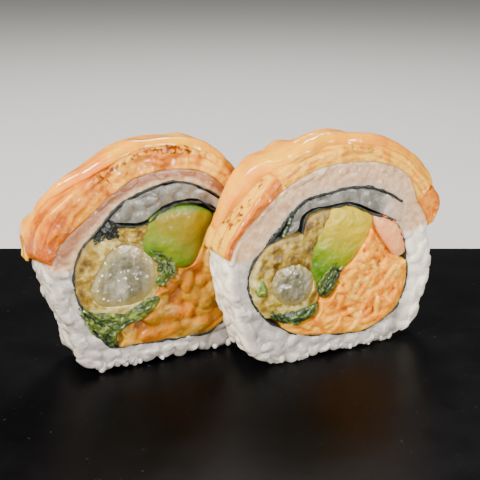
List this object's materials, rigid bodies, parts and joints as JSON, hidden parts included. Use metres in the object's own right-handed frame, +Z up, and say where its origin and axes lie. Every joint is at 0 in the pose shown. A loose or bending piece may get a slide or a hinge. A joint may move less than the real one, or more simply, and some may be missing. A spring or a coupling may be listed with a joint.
{
  "type": "uramaki sushi on a serving board",
  "caption": "Uramaki slices with fried shrimp, avocado and seared salmon topped with orange sauce, standing on a flat black board.",
  "frame": {"origin": "centre of the board's underside", "axes": "+X along the board's length to the right, +Y away from the viewer, +Z up; the cut faces look to -Y and a little to +X"},
  "size_m": [0.18, 0.12, 0.0504],
  "materials": {
    "board": "satin black",
    "rice": "moist cooked rice, slightly translucent",
    "nori": "damp seaweed sheet, near black green",
    "shrimp": "glossy translucent cooked shrimp",
    "batter": "porous golden fried batter",
    "lettuce": "dark green leaf",
    "avocado": "smooth avocado flesh, green to yellow",
    "seafood_mix": "moist shredded orange seafood",
    "pink_fish": "smooth moist pink fish",
    "salmon": "seared glossy salmon with torch marks",
    "sauce": "thick glossy orange cream sauce"
  },
  "bodies": {
    "root": {"board": "board", "left_rice": "rice", "left_nori": "nori", "left_shrimp": "shrimp", "left_batter": "batter", "left_nori_fold": "nori", "left_lettuce_low": "lettuce", "left_lettuce_middle": "lettuce", "left_batter_flake": "batter", "left_avocado": "avocado", "left_seafood_mix": "seafood_mix", "left_salmon_left": "salmon", "left_salmon_top": "salmon", "left_sauce": "sauce", "right_rice": "rice", "right_nori": "nori", "right_shrimp": "shrimp", "right_lettuce_in_batter": "lettuce", "right_batter": "batter", "right_lettuce_low": "lettuce", "right_lettuce_middle": "lettuce", "right_avocado": "avocado", "right_pink_fish": "pink_fish", "right_seafood_mix": "seafood_mix", "right_salmon_left": "salmon", "right_salmon_top": "salmon", "right_salmon_end": "salmon", "right_sauce": "sauce"}
  },
  "joints": []
}
